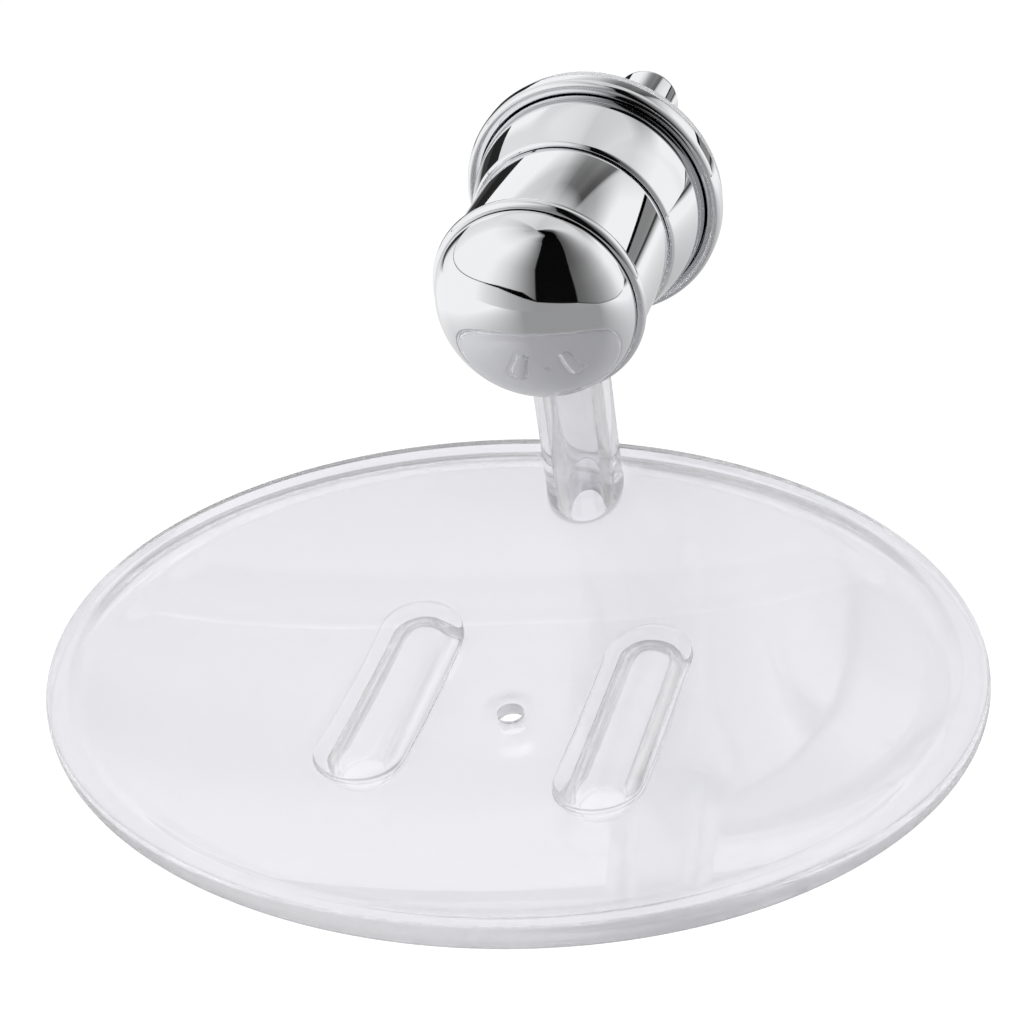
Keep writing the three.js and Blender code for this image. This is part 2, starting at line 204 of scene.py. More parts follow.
def new_finish(name, **settings):
    """A material with one Principled shader whose plain settings go straight onto its sockets."""
    material = bpy.data.materials.new(name)
    material.use_nodes = True
    shader = material.node_tree.nodes["Principled BSDF"]
    for socket, value in settings.items():
        shader.inputs[socket.replace("_", " ")].default_value = value
    return material, material.node_tree, shader


def mottle(tree, scale, detail=3):
    """A noise pattern on Object coordinates, at a scale in cycles per metre."""
    place = tree.nodes.new("ShaderNodeTexCoord")
    noise = tree.nodes.new("ShaderNodeTexNoise")
    noise.inputs["Scale"].default_value = scale
    noise.inputs["Detail"].default_value = detail
    tree.links.new(place.outputs["Object"], noise.inputs["Vector"])
    return noise.outputs["Fac"]


def ranged(tree, value, low_in, high_in, low_out, high_out):
    """Maps a value from one range onto another, straight between the limits and level past them."""
    remap = tree.nodes.new("ShaderNodeMapRange")
    limits = {"From Min": low_in, "From Max": high_in, "To Min": low_out, "To Max": high_out}
    for socket, limit in limits.items():
        remap.inputs[socket].default_value = limit
    tree.links.new(value, remap.inputs["Value"])
    return remap.outputs["Result"]


def haze(tree, shader, scale, low, high):
    """Lets the roughness wander between two values, by a noise pattern stretched over that range."""
    wander = ranged(tree, mottle(tree, scale), NOISE_LOW, NOISE_HIGH, low, high)
    tree.links.new(wander, shader.inputs["Roughness"])


def dent(tree, shader, scale, strength, distance, detail=3):
    """Bumps the surface by a noise pattern."""
    bump = tree.nodes.new("ShaderNodeBump")
    bump.inputs["Strength"].default_value = strength
    bump.inputs["Distance"].default_value = distance
    tree.links.new(mottle(tree, scale, detail), bump.inputs["Height"])
    tree.links.new(bump.outputs["Normal"], shader.inputs["Normal"])


print("noise patterns are read from", NOISE_LOW, "to", NOISE_HIGH)

# %% [markdown]
# ## Chrome
# Bathroom chrome is a mirror with a faint haze from polishing. It is a metal of low roughness whose
# roughness wanders a little, and its surface is very slightly wavy. One number for the roughness would
# do for a small piece, but the wander keeps wide reflections from looking drawn.

# %% Chrome
chrome, tree, shader = new_finish("polished_chrome", Base_Color=(0.86, 0.865, 0.88, 1), Metallic=1.0)
haze(tree, shader, scale=260, low=0.02, high=0.05)
dent(tree, shader, scale=90, detail=1, strength=0.02, distance=0.0002)
print("chrome made")

# %% [markdown]
# ## Acrylic
# The dish is cast acrylic: nearly all its light comes through it or off its skin. A pure clear shader
# gives black bands of total reflection that the real dish doesn't show, so this one is a little milky
# and lets a part of the light go straight on, unbent. That part is smaller on steep faces, such as the
# ribs' sides and the rim, which therefore stand out more. The trace of lavender is weaker in the peg.

# %% Acrylic
DISH_TINT, PEG_TINT = (0.92, 0.917, 0.948, 1), (0.97, 0.97, 0.985, 1)
TINT_LOW, TINT_HIGH = -0.036, -0.033    # metres of height over which the one tint becomes the other
STEEP, LEVEL = 0.7, 0.92                # upright part of a face's direction: steep below, level above
STEEP_COVER, LEVEL_COVER = 0.9, 0.7     # the share of the light that isn't let straight on

acrylic, tree, shader = new_finish(
    "clear_acrylic", Base_Color=DISH_TINT, Transmission_Weight=0.9, IOR=1.49, Alpha=LEVEL_COVER)
haze(tree, shader, scale=140, low=0.01, high=0.05)
dent(tree, shader, scale=70, detail=1, strength=0.05, distance=0.0004)

place = tree.nodes.new("ShaderNodeTexCoord")
axes = tree.nodes.new("ShaderNodeSeparateXYZ")
tree.links.new(place.outputs["Object"], axes.inputs[0])
tint = tree.nodes.new("ShaderNodeValToRGB")
for element, position, colour in zip(tint.color_ramp.elements, (0.0, 1.0), (DISH_TINT, PEG_TINT)):
    element.position, element.color = position, colour
rise = ranged(tree, axes.outputs["Z"], TINT_LOW, TINT_HIGH, 0, 1)
tree.links.new(rise, tint.inputs["Fac"])
tree.links.new(tint.outputs["Color"], shader.inputs["Base Color"])

facing = tree.nodes.new("ShaderNodeSeparateXYZ")
tree.links.new(place.outputs["Normal"], facing.inputs[0])
upright = tree.nodes.new("ShaderNodeMath")
upright.operation = "ABSOLUTE"
tree.links.new(facing.outputs["Z"], upright.inputs[0])
cover = ranged(tree, upright.outputs[0], STEEP, LEVEL, STEEP_COVER, LEVEL_COVER)
tree.links.new(cover, shader.inputs["Alpha"])
print("acrylic made, index of refraction", shader.inputs["IOR"].default_value)

# %% [markdown]
# ## Vinyl and the hidden pieces' finishes
# The gasket is a soft clear vinyl, duller than the dish. The hidden fasteners keep their CAD shape and
# get plain turned-metal, nylon and rubber finishes, which show when the knob or the dish is moved. A
# fine bump stands for the lathe's marks, as modelled grooves would be too small to see.

# %% Vinyl, steel, brass, nylon and rubber
vinyl, tree, shader = new_finish(
    "clear_vinyl", Base_Color=(0.92, 0.925, 0.94, 1), Transmission_Weight=0.55, IOR=1.45)
haze(tree, shader, scale=400, low=0.18, high=0.26)

steel, tree, shader = new_finish("turned_steel", Base_Color=(0.56, 0.57, 0.58, 1), Metallic=1.0)
haze(tree, shader, scale=700, low=0.22, high=0.4)
dent(tree, shader, scale=1500, strength=0.15, distance=0.0001)

brass, tree, shader = new_finish("machined_brass", Base_Color=(0.72, 0.53, 0.25, 1), Metallic=1.0)
haze(tree, shader, scale=500, low=0.2, high=0.38)
dent(tree, shader, scale=1200, strength=0.12, distance=0.0001)

nylon, tree, shader = new_finish(
    "white_nylon", Base_Color=(0.84, 0.83, 0.79, 1), Subsurface_Weight=0.1, Subsurface_Scale=0.002)
haze(tree, shader, scale=600, low=0.35, high=0.5)

rubber, tree, shader = new_finish("black_rubber", Base_Color=(0.03, 0.03, 0.032, 1))
haze(tree, shader, scale=900, low=0.6, high=0.8)
dent(tree, shader, scale=2500, strength=0.2, distance=0.00005)

HIDDEN = {
    "bell_grub_screw": steel, "stud_washer": steel, "stud_spring_washer": steel, "stud_nut": steel,
    "neck_core": brass, "clamp_screw": steel, "clamp_pad": nylon, "socket_ring": rubber,
}
for node, finish in HIDDEN.items():
    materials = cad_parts[node].data.materials
    materials.clear()
    materials.append(finish)
print("finishes:", sorted(m.name for m in bpy.data.materials if m.users))

# %% [markdown]
# ## Gasket
# Where the bracket meets the wall it has a thin clear sealing ring. It is a plain washer, so its outline
# is a rectangle with soft corners.

# %% Gasket
GASKET_HOLE, GASKET_RADIUS, GASKET_THICK, GASKET_ROUND = 8, 20, 1.6, 0.3
gasket = rounded([(GASKET_HOLE, 0), (GASKET_RADIUS, 0), (GASKET_RADIUS, GASKET_THICK),
                  (GASKET_HOLE, GASKET_THICK)], GASKET_ROUND)
make_piece("gasket_ring", [turned(gasket)], "bracket", ["wall_gasket"], vinyl)

# %% [markdown]
# ## Flange
# The flange is a flat plate with a rolled bead at its edge and a ring inside that centres the bell. Both
# could be added to a disc by extruding, but as one outline they need no joining.

# %% Flange
# Corners as (radius, distance out, rounding).
FLANGE = np.array([
    (4.3, 1.9, 0.1), (20.2, 1.9, 0.2), (20.6, 2.3, 0.3), (20.6, 4.4, 0.6), (20.1, 5.2, 0.5), (19.3, 5.2, 0.5),
    (18.55, 4.7, 0.2), (18.55, 3.1, 0.1), (16.0, 3.1, 0.1), (16.0, 7.6, 0.2), (14.8, 7.6, 0.2),
    (14.8, 3.1, 0.1), (4.3, 3.1, 0.1)])
flange_hole = {"place": (0, -SCREW_OUT, -17.4), "length": 4.6}
flange = rounded(FLANGE[:, :2], FLANGE[:, 2])
flange_piece = make_piece(
    "flange_with_bead", [turned(flange)], "bracket", ["wall_flange"], chrome)
bored(flange_piece, SCREW_HOLE, **flange_hole, segments=HOLE_STEPS)

# %% [markdown]
# ## Stud
# A stout stud goes into the wall and a thinner end of it holds the flange. Its outline starts and ends on
# the axis, so it isn't closed into a loop.

# %% Stud
# Corners as (radius, distance out, rounding).
STUD = np.array([
    (0, -31, 0.5), (4.6, -31, 0.5), (5.4, -30.2, 0.5), (5.4, 1.6, 0.2), (4, 1.6, 0.2), (4, 14.5, 0.5),
    (3.2, 15.3, 0.5), (0, 15.3, 0.5)])
STUD_STEPS = 96
stud = rounded(STUD[:, :2], STUD[:, 2], closed=False)
make_piece("wall_fixing_stud", [turned(stud, STUD_STEPS, False)], "bracket", ["wall_stud"], chrome)

# %% [markdown]
# ## Bell
# The bell is a thin cover that flares towards the wall. Its side is a power curve, which a spline could
# follow too, but one exponent is easier to set against a photograph than several handles.

# %% Bell
BELL_OUT, BELL_LENGTH = 16.3, 12.9      # its outer end, and from there back towards the wall
BELL_RADIUS, BELL_FLARE, BELL_CURVE = 16.1, 2.3, 1.8
BELL_WALL, BELL_CEILING, BELL_HOLE = 1.3, 15.0, 8.3
BELL_MOUTH_WALL, BELL_STEPS = 0.3, 40
BELL_EDGE = [(16.12, 16.05), (15.9, BELL_OUT)]      # the small bevel between side and end
bell_hole = {"place": (0, -SCREW_OUT, -20.0), "length": 4.0}

share = np.linspace(1, 0, BELL_STEPS)
bell_radius = BELL_RADIUS + BELL_FLARE * (1 - (1 - share) ** BELL_CURVE)
bell_out = BELL_OUT - BELL_LENGTH * share
outer = np.stack([bell_radius, bell_out], axis=1)
inner = outer[bell_out < BELL_CEILING] - (BELL_WALL, 0)
bell = np.vstack([
    outer[0] - (BELL_MOUTH_WALL, 0), outer[:-1], *BELL_EDGE, (BELL_HOLE, BELL_OUT),
    (BELL_HOLE, BELL_CEILING), (inner[-1, 0], BELL_CEILING), inner[::-1]])
bell_piece = make_piece("bell_cover_shell", [turned(bell)], "bracket", ["bell_cover"], chrome)
bored(bell_piece, SCREW_HOLE, **bell_hole, segments=HOLE_STEPS)

# %% [markdown]
# ## Neck and bead
# The neck is a sleeve with a hole below for the peg, and a half-round bead closes it at the front. The
# bead's outline is half a circle, as a bevel on a ring would not be quite round.

# %% Neck
NECK_INNER, NECK_OUTER, NECK_FROM, NECK_TO, NECK_ROUND = 14.5, 15.6, 16.6, 32.2, 0.15
neck_hole = {"radius": 7.4, "place": (0, -SOCKET_OUT, -18.0), "length": 8.0}
neck = rounded([(NECK_INNER, NECK_FROM), (NECK_OUTER, NECK_FROM), (NECK_OUTER, NECK_TO),
                (NECK_INNER, NECK_TO)], NECK_ROUND)
neck_piece = make_piece("neck_sleeve", [turned(neck)], "bracket", ["neck_barrel"], chrome)
bored(neck_piece, **neck_hole, segments=SOCKET_STEPS)

# %% Bead
BEAD_CENTRE, BEAD_OUT, BEAD_RADIUS, BEAD_INNER = 15.3, 33.6, 1.1, 13.7
FINE_STEPS = 256
angle = np.linspace(-np.pi / 2, np.pi / 2, 25)
bead = np.stack([BEAD_CENTRE + BEAD_RADIUS * np.cos(angle), BEAD_OUT + BEAD_RADIUS * np.sin(angle)], axis=1)
collar = np.vstack([(BEAD_INNER, BEAD_OUT - BEAD_RADIUS), bead, (BEAD_INNER, BEAD_OUT + BEAD_RADIUS)])
make_piece("neck_bead", [turned(collar, FINE_STEPS)], "bracket", ["neck_collar"], chrome)

# %% [markdown]
# ## Domed knob
# The knob is a hollow cap whose face is half an ellipse, with a boss inside for its screw. A squashed
# sphere would look the same from outside, but this one has its wall and its boss in the same outline.

# %% Domed knob
DOME_RADIUS, DOME_RISE, DOME_WALL, DOME_OUT = 15.3, 10, 1.4, 35
BOSS_RADIUS, BOSS_OUT, SEAT_RADIUS, SEAT_OUT = 6.5, 41.2, 4.3, 43.6
inner_radius, inner_rise = DOME_RADIUS - DOME_WALL, DOME_RISE - DOME_WALL
angle = np.linspace(0, np.pi / 2, 49)
dome_outer = np.stack([DOME_RADIUS * np.sin(angle), DOME_OUT + DOME_RISE * np.cos(angle)], axis=1)
angle = np.linspace(np.pi / 2, np.arcsin(BOSS_RADIUS / inner_radius), 25)
dome_inner = np.stack([inner_radius * np.sin(angle), DOME_OUT + inner_rise * np.cos(angle)], axis=1)
boss = [(BOSS_RADIUS, BOSS_OUT), (SEAT_RADIUS, BOSS_OUT), (SEAT_RADIUS, SEAT_OUT), (0, SEAT_OUT)]
dome = np.vstack([dome_outer, dome_inner, *boss])
make_piece("domed_knob", [turned(dome, FINE_STEPS, False)], "knob", ["knob_dome"], chrome)

# %% [markdown]
# ## Socket liner
# A nylon sleeve with a small lip lines the socket's mouth, as such brackets have to spare the clear peg.
# It is turned like the other pieces, but about the peg's upright axis.

# %% Socket liner
LINER_INNER, LINER_OUTER, LINER_LIP, LINER_ROUND = 6.5, 7.1, 7.9, 0.25
LINER_LOW, LIP_HIGH, LINER_HIGH = -17.1, -15.9, -4.15
liner = rounded([
    (LINER_INNER, LINER_LOW), (LINER_LIP, LINER_LOW), (LINER_LIP, LIP_HIGH), (LINER_OUTER, LIP_HIGH),
    (LINER_OUTER, LINER_HIGH), (LINER_INNER, LINER_HIGH)], LINER_ROUND)
points = stood(liner, (0, -SOCKET_OUT, 0), SOCKET_STEPS)
make_piece("peg_socket_liner", [(points, grid_faces(len(liner), SOCKET_STEPS, True))],
           "liner", ["socket_liner"], nylon)

# %% [markdown]
# ## The dish and its peg
# The real dish and peg are bonded, so light passes from one to the other with no air between: they are
# one closed surface. The bowl is a height over the dish's plane. Wide areas of it are filled with
# triangles between rings of points, and every place where the surface turns steeply, such as a rib's
# side, the peg's foot or the rim's outer wall, is a strip of rows that shares its end rows with them.
# One Boolean for each feature would be shorter to write, but can leave slivers that clear plastic shows.

# %% Heights of the dish's two faces
HALF_WIDTH, SQUASH = 70.0, 108 / 140
BOWL_RIM, BOWL_DEPTH, BOWL_LIP, BOWL_CURVE, WALL = 64.8, 11.4, 0.9, 2.2, 3.0
PEG_PLACE = np.array([0.0, 44.6])
RIM_LOW = -3.5
# Strokes as (distance from the middle along the dish's width, height).
RIM_STROKES = np.array([
    (BOWL_RIM, -BOWL_LIP), (65.4, -0.6), (66.4, -0.15), (67.8, 0), (HALF_WIDTH, 0)])
UNDER_STROKES = np.array([(61.8, -4.94), (65.0, -3.7), (66.5, RIM_LOW), (HALF_WIDTH, RIM_LOW)])
TABLE_START, TABLE_ROWS = 4, 2001


def bowl(rho):
    """Bowl height: -depth + (depth - lip) (rho / rim) ^ curve, where rho is the distance from the middle,
    measured along the dish's width."""
    return -BOWL_DEPTH + (BOWL_DEPTH - BOWL_LIP) * (rho / BOWL_RIM) ** BOWL_CURVE


def softened(strokes, join, drop, window):
    """A table of heights: the bowl less a drop up to the join, straight strokes past it, and then each
    height replaced twice by the mean of its neighbours within the window, which rounds every corner."""
    rho = np.linspace(join - TABLE_START, HALF_WIDTH, TABLE_ROWS)
    height = np.where(rho < join, bowl(rho) - drop, np.interp(rho, strokes[:, 0], strokes[:, 1]))
    reach = int(window / (rho[1] - rho[0]) / 2)
    for _ in range(2):
        padded = np.pad(height, reach, mode="reflect", reflect_type="odd")
        height = np.convolve(padded, np.ones(2 * reach + 1) / (2 * reach + 1), mode="valid")
    return rho, height


TOP_RHO, TOP_HEIGHT = softened(RIM_STROKES, BOWL_RIM, drop=0, window=0.25)
UNDER_RHO, UNDER_HEIGHT = softened(UNDER_STROKES, UNDER_STROKES[0, 0], drop=WALL, window=0.8)


def top_face(xy):
    """Height of the upper face at places (x, y) from the dish's middle."""
    rho = np.hypot(xy[:, 0], xy[:, 1] / SQUASH)
    return np.where(rho < TOP_RHO[0], bowl(rho), np.interp(rho, TOP_RHO, TOP_HEIGHT))


def under_face(xy):
    """Height of the lower face at places (x, y) from the dish's middle."""
    rho = np.hypot(xy[:, 0], xy[:, 1] / SQUASH)
    return np.where(rho < UNDER_RHO[0], bowl(rho) - WALL, np.interp(rho, UNDER_RHO, UNDER_HEIGHT))


print("bowl floor and rim land:", bowl(0.0), round(float(np.interp(66.5, TOP_RHO, TOP_HEIGHT)), 2))

# %% [markdown]
# ## Loops and filled areas
# Each feature of the dish is bounded by a closed loop of points. A rib's loop is an obround: two half
# circles and two straight sides, worked out as a spine plus a half width times an outward direction, so
# that every row of the rib has its points in step. The bowl between the loops could be a regular grid,
# but a grid meets curved loops in steps, and a Delaunay filling doesn't.

# %% Loops
RIB_SPINE, RIB_MIDDLE = 13.7, -1.1      # half of the spine, and its middle's place along the dish's depth
END_POINTS, SIDE_POINTS = 33, 40
ends = np.linspace(0, np.pi, END_POINTS)
sides = np.linspace(RIB_SPINE, -RIB_SPINE, SIDE_POINTS + 2)[1:-1]
end_directions = np.stack([np.cos(ends), np.sin(ends)], axis=1)
half_directions = np.vstack([end_directions, np.tile((-1, 0), (SIDE_POINTS, 1))])
half_places = np.concatenate([np.full(END_POINTS, RIB_SPINE), sides])
rib_directions = np.vstack([half_directions, -half_directions])
rib_places = np.concatenate([half_places, -half_places])


def circle(radius, place, count):
    """Points at equal angles round a place."""
    a = np.arange(count) * 2 * np.pi / count
    return np.stack([np.cos(a), np.sin(a)], axis=1) * radius + place


def ellipse(rho, count):
    """Points of the dish's oval: (rho cos a, squash rho sin a)."""
    return circle(rho, (0, 0), count) * (1, SQUASH)


def obround(half_width, side):
    """Outline of a rib: a point on its spine plus the half width times an outward direction."""
    spine = np.stack([np.full(len(rib_places), side), rib_places + RIB_MIDDLE], axis=1)
    return spine + half_width * rib_directions


def spine_distance(xy, side):
    """Distance of places from a rib's spine."""
    along = np.clip(xy[:, 1] - RIB_MIDDLE, -RIB_SPINE, RIB_SPINE) + RIB_MIDDLE
    return np.hypot(xy[:, 0] - side, xy[:, 1] - along)


print("a rib's loop:", len(rib_places), "points")

# %% Filled areas and strips
FILL_TOLERANCE = 1e-7                   # mm


def filled(outer, holes, inside, height):
    """Triangles that fill an outline but not its holes, through the given inside points, at a height
    worked out from each place. A triangle whose corners all lie on one hole covers that hole."""
    loops = [outer, *holes]
    places = np.vstack([*loops, inside])
    loop_owner = [np.full(len(loop), i) for i, loop in enumerate(loops)]
    owner = np.concatenate([*loop_owner, np.full(len(inside), -1)])
    edges, start = [], 0
    for loop in loops:
        index = np.arange(len(loop))
        edges.append(np.stack([index, (index + 1) % len(loop)], axis=1) + start)
        start += len(loop)
    out = delaunay_2d_cdt(places.tolist(), np.vstack(edges).tolist(), [], 0, FILL_TOLERANCE)
    source = np.array([ids[0] for ids in out[3]])
    triangles = source[np.array(out[2])]
    corners = owner[triangles]
    covers = (corners[:, 0] == corners[:, 1]) & (corners[:, 1] == corners[:, 2]) & (corners[:, 0] > 0)
    return np.column_stack([places, height(places)]), triangles[~covers]


def strip(rows):
    """Four-sided faces between rows of equally many points, each row a closed loop."""
    rows = np.asarray(rows)
    return rows.reshape(-1, 3), grid_faces(len(rows), rows.shape[1], False)


def lifted(xy, z):
    """Places (x, y) with a height, which may be one number for all."""
    return np.column_stack([xy, np.broadcast_to(z, len(xy))])


print("a strip of 2 rows of 4 points has", len(strip(np.zeros((2, 4, 3)))[1]), "faces")

# %% [markdown]
# ## The bowl's two faces
# The upper face has the ribs, the dimple of the drain and the peg's foot; the lower one has the ribs'
# hollows, the drain and the peg's bore. Points are laid in rings, wide apart in the bowl and close over
# the rim, where the face bends. Even points all over would need many more faces for the same rim.

# %% Sizes of the dish's features
RIB_HALF, RIB_TOP, RIB_FOOT = 6.6, -7.9, 0.5
RIB_ROUND, RIB_CROWN = 2.6, 2.0
HOLLOW_HALF, HOLLOW_TOP = 4.6, -9.7
HOLLOW_ROUND, HOLLOW_CROWN = 4.2, 3.2
RIB_SIDES = (-18.2, 18.2)
DRAIN, DIMPLE, DIMPLE_DEPTH = 2.0, 4.4, 0.7
PEG, BORE, PEG_FOOT = 6.2, 2.9, 1.0
PEG_TOP, BORE_TOP = 45.3, 42.9
MOUTH = 0.3                             # rounding of the hollows', the drain's and the bore's mouths
HOLE_COUNT = 96
middle = np.zeros(2)
print("rib:", 2 * (RIB_SPINE + RIB_HALF), "by", 2 * RIB_HALF, "mm before its foot; peg:", 2 * PEG, "mm")

# %% Points of the two faces
SPACING, RING_SHARE, RING_LEAST = 1.25, 5.6, 6
BOWL_RINGS_END = 60.5
RIM_COUNT = 384
EDGE = 68.4                             # where both faces end and the rim's wall begins


def face_points(rings_out, keep):
    """Rings of points over the bowl, then aligned rings over the rim, where keep allows them."""
    radii = np.arange(SPACING, BOWL_RINGS_END, SPACING)
    rings = [ellipse(r, int(RING_SHARE * r / SPACING) + RING_LEAST) for r in radii]
    rings += [ellipse(r, RIM_COUNT) for r in rings_out]
    points = np.vstack(rings)
    return points[keep(points)]


def clear_of(xy, hole, post, rib):
    """Places farther than three limits from the middle, from the peg's axis and from the ribs' spines."""
    clear = np.hypot(*xy.T) > hole
    clear &= np.hypot(*(xy - PEG_PLACE).T) > post
    for side in RIB_SIDES:
        clear &= spine_distance(xy, side) > rib
    return clear


def clear_of_top(xy):
    """Places off the ribs, the dimple and the peg, with a little room for good triangles."""
    return clear_of(xy, hole=DIMPLE + 0.8, post=PEG + PEG_FOOT + 0.4, rib=RIB_HALF + RIB_FOOT + 0.4)


def clear_of_under(xy):
    """The same for the lower face: the hollows, the drain and the bore."""
    return clear_of(xy, hole=DRAIN + 1, post=BORE + 0.9, rib=HOLLOW_HALF + 0.8)


RINGS_FROM, CLOSE_FROM = 61.2, 64.7     # where the aligned rings start, and where they lie closer
top_rings = np.concatenate([np.arange(RINGS_FROM, CLOSE_FROM - 0.1, 0.7),
                            np.arange(CLOSE_FROM, EDGE - 0.1, 0.2)])
under_rings = np.arange(RINGS_FROM, EDGE - 0.2, 0.6)
top = filled(
    ellipse(EDGE, RIM_COUNT),
    [circle(DIMPLE, middle, HOLE_COUNT), circle(PEG + PEG_FOOT, PEG_PLACE, HOLE_COUNT)]
    + [obround(RIB_HALF + RIB_FOOT, side) for side in RIB_SIDES],
    face_points(top_rings, clear_of_top), top_face)
under = filled(
    ellipse(EDGE, RIM_COUNT),
    [circle(DRAIN + MOUTH, middle, HOLE_COUNT), circle(BORE + MOUTH, PEG_PLACE, HOLE_COUNT)]
    + [obround(HOLLOW_HALF + MOUTH, side) for side in RIB_SIDES],
    face_points(under_rings, clear_of_under), under_face)
print("upper and lower face:", len(top[1]), len(under[1]), "triangles")

# %% [markdown]
# ## Rim
# The rim's outer wall joins the two faces: a soft curve over from the top, a short side and a smaller
# curve under. A Bevel modifier would round both edges alike, and here they differ.

# %% Rim wall
OVER_DROP, UNDER_ROUND = 1.65, 0.9      # heights of the upper and the lower curve
land = float(top_face(np.array([[EDGE, 0.0]]))[0])
side_low = RIM_LOW + UNDER_ROUND
turn = np.linspace(0, np.pi / 2, 15)
over = np.stack([EDGE + (HALF_WIDTH - EDGE) * np.sin(turn), land - OVER_DROP * (1 - np.cos(turn))], axis=1)
side = np.stack([np.full(5, HALF_WIDTH), np.linspace(over[-1, 1], side_low, 6)[1:]], axis=1)
back = np.stack([HALF_WIDTH - UNDER_ROUND * (1 - np.cos(turn[1:])),
                 side_low - UNDER_ROUND * np.sin(turn[1:])], axis=1)
outline = np.vstack([over, side, back, (EDGE, RIM_LOW)])
rim_wall = strip([lifted(ellipse(rho, RIM_COUNT), z) for rho, z in outline])
print("rim wall:", len(rim_wall[1]), "faces")

# %% [markdown]
# ## Ribs
# The soap rests on two long ribs, hollow from below. Each has a flat top, a rounded edge and a small
# curve at its foot, which follows the bowl. They are rows of one obround loop at changing widths and
# heights, as a rib cut from a block would lose the curve where it meets the sloping bowl.

# %% Ribs and their hollows
CROWN_SHARE = 0.75                      # the most of a low side that its rounded edge takes up
quarter = np.linspace(0, np.pi / 2, 7)
fine_quarter = np.linspace(0, np.pi / 2, 17)


def rib_strip(side):
    """Rows up a rib's side: a small quarter curve at the foot, a wall, and a quarter curve to the top.
    The foot follows the bowl, so each place has its own rise."""
    rise = RIB_TOP - top_face(obround(RIB_HALF, side)) - RIB_FOOT
    crown = np.minimum(RIB_CROWN, CROWN_SHARE * rise)
    rows = []
    for a in quarter:
        place = obround(RIB_HALF + RIB_FOOT * (1 - np.sin(a)), side)
        rows.append(lifted(place, top_face(place) + RIB_FOOT * (1 - np.cos(a))))
    low = rows[-1][:, 2]
    for part in (1 / 3, 2 / 3):
        rows.append(lifted(obround(RIB_HALF, side), low + part * (RIB_TOP - crown - low)))
    for a in fine_quarter:
        place = obround(RIB_HALF - RIB_ROUND * (1 - np.cos(a)), side)
        rows.append(lifted(place, RIB_TOP - crown * (1 - np.sin(a))))
    return strip(rows)


def hollow_strip(side):
    """Rows up the inside of a rib, from its mouth in the lower face to its roof."""
    rows = []
    for a in quarter:
        place = obround(HOLLOW_HALF + MOUTH * (1 - np.sin(a)), side)
        rows.append(lifted(place, under_face(place) + MOUTH * (1 - np.cos(a))))
    low = rows[-1][:, 2]
    high = HOLLOW_TOP - HOLLOW_CROWN
    for part in (0.25, 0.5, 0.75):
        rows.append(lifted(obround(HOLLOW_HALF, side), low + part * (high - low)))
    for a in fine_quarter:
        inset = HOLLOW_ROUND * (1 - np.cos(a))
        rows.append(lifted(obround(HOLLOW_HALF - inset, side), high + HOLLOW_CROWN * np.sin(a)))
    return strip(rows)


FLAT_LENGTH, FLAT_WIDTH, FLAT_ROOM = 20, 4.5, 0.5
along_steps = np.arange(-FLAT_LENGTH, FLAT_LENGTH + 0.5, 1.2) + RIB_MIDDLE
across_steps = np.arange(-FLAT_WIDTH, FLAT_WIDTH + 0.1, 1.5)


def flat_top(half_width, side, z):
    """The flat end of a rib or of its hollow."""
    x, y = np.meshgrid(across_steps + side, along_steps)
    spots = np.stack([x.ravel(), y.ravel()], axis=1)
    spots = spots[spine_distance(spots, side) < half_width - FLAT_ROOM]
    return filled(obround(half_width, side), [], spots, lambda p: np.full(len(p), z))


ribs = []
for side in RIB_SIDES:
    ribs += [rib_strip(side), flat_top(RIB_HALF - RIB_ROUND, side, RIB_TOP)]
    ribs += [hollow_strip(side), flat_top(HOLLOW_HALF - HOLLOW_ROUND, side, HOLLOW_TOP)]
print("ribs:", sum(len(faces) for _, faces in ribs), "faces in", len(ribs), "parts")

# %% [markdown]
# ## Drain, peg and bore
# Water leaves by a hole in a shallow dimple. Behind it the hollow peg stands up into the bracket. All
# are circles of changing radius and height, and the first ones keep to the sloping face they start on.

# %% Drain
DRAIN_LOW, DRAIN_LEAD = -14.1, 0.2      # lower end of the straight hole, and its first step down


def post_strip(outline, place, face=None):
    """Rows of circles round a place. The first ones keep to a face by their own height over it."""
    rows = []
    for radius, z, on_face in outline:
        ring = circle(radius, place, HOLE_COUNT)
        rows.append(lifted(ring, z + (face(ring) if on_face else 0)))
    return strip(rows)


s = np.linspace(0, 1, 9)
dimple_radius = DIMPLE + (DRAIN - DIMPLE) * s
dimple_drop = -DIMPLE_DEPTH * (3 * s ** 2 - 2 * s ** 3)
drain_top = -BOWL_DEPTH - DIMPLE_DEPTH
drain = [(r, d, True) for r, d in zip(dimple_radius, dimple_drop)]
drain += [(DRAIN, z, False) for z in np.linspace(drain_top - DRAIN_LEAD, DRAIN_LOW, 4)]
drain_wall = post_strip(drain, middle, top_face)
mouth_ring = circle(DRAIN + MOUTH, middle, HOLE_COUNT)
drain_mouth = strip([
    lifted(circle(DRAIN, middle, HOLE_COUNT), DRAIN_LOW),
    lifted(circle(DRAIN + MOUTH / 3, middle, HOLE_COUNT), DRAIN_LOW - DRAIN_LEAD),
    lifted(mouth_ring, under_face(mouth_ring))])
print("drain:", len(drain_wall[1]) + len(drain_mouth[1]), "faces")

# %% Peg and bore
PEG_ROUND = 0.8
foot = [(PEG + PEG_FOOT * (1 - np.sin(a)), PEG_FOOT * (1 - np.cos(a)), True) for a in quarter]
shaft = [(PEG, z, False) for z in np.linspace(2, PEG_TOP - PEG_ROUND, 24)]
crown = [(PEG - PEG_ROUND * (1 - np.cos(a)), PEG_TOP - PEG_ROUND * (1 - np.sin(a)), False)
         for a in quarter[1:]]
cap = [(r, PEG_TOP, False) for r in (3.4, 1.7, 0)]
peg_wall = post_strip(foot + shaft + crown + cap, PEG_PLACE, top_face)

